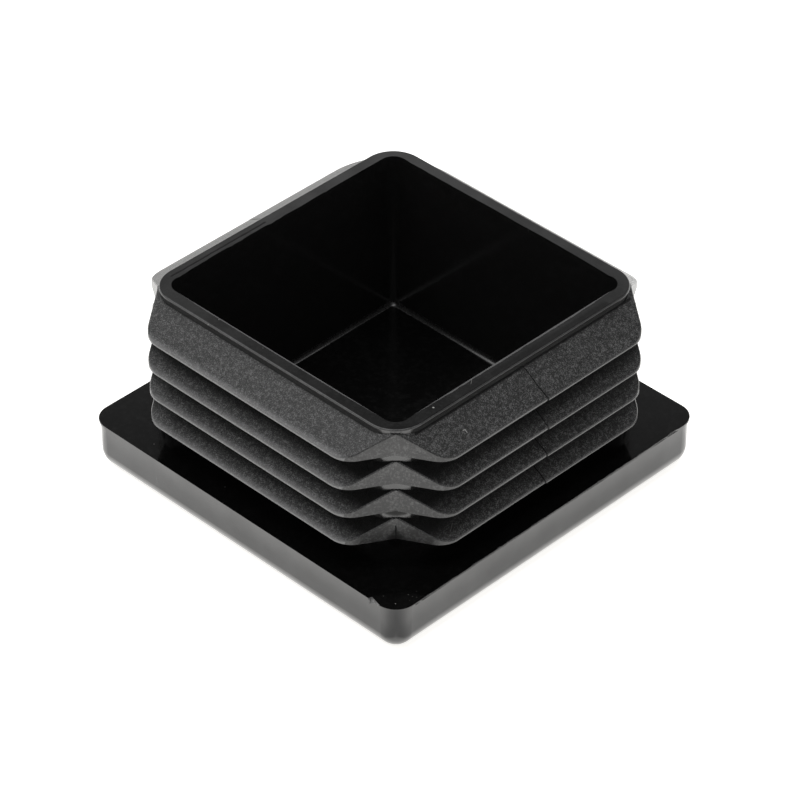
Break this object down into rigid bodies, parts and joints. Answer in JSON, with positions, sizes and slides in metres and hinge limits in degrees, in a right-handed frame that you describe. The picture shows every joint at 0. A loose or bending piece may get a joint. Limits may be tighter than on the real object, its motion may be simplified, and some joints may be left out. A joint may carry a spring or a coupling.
{
  "type": "tube end cap",
  "caption": "Square ribbed tube end cap, moulded in one piece: a flat head with rounded edges and a thin-walled open cup with flared fins that grip inside the tube.",
  "frame": {"origin": "middle of the show face, which the cap lies on", "axes": "+Z along the insertion axis, from the show face to the open rim; +X and +Y square to the head's straight sides"},
  "size_m": [0.05, 0.05, 0.0256],
  "materials": {
    "black_plastic": "satin black moulded polyethylene, fine spark grain on the fins"
  },
  "bodies": {
    "root": {"end_cap": "black_plastic"}
  },
  "joints": []
}
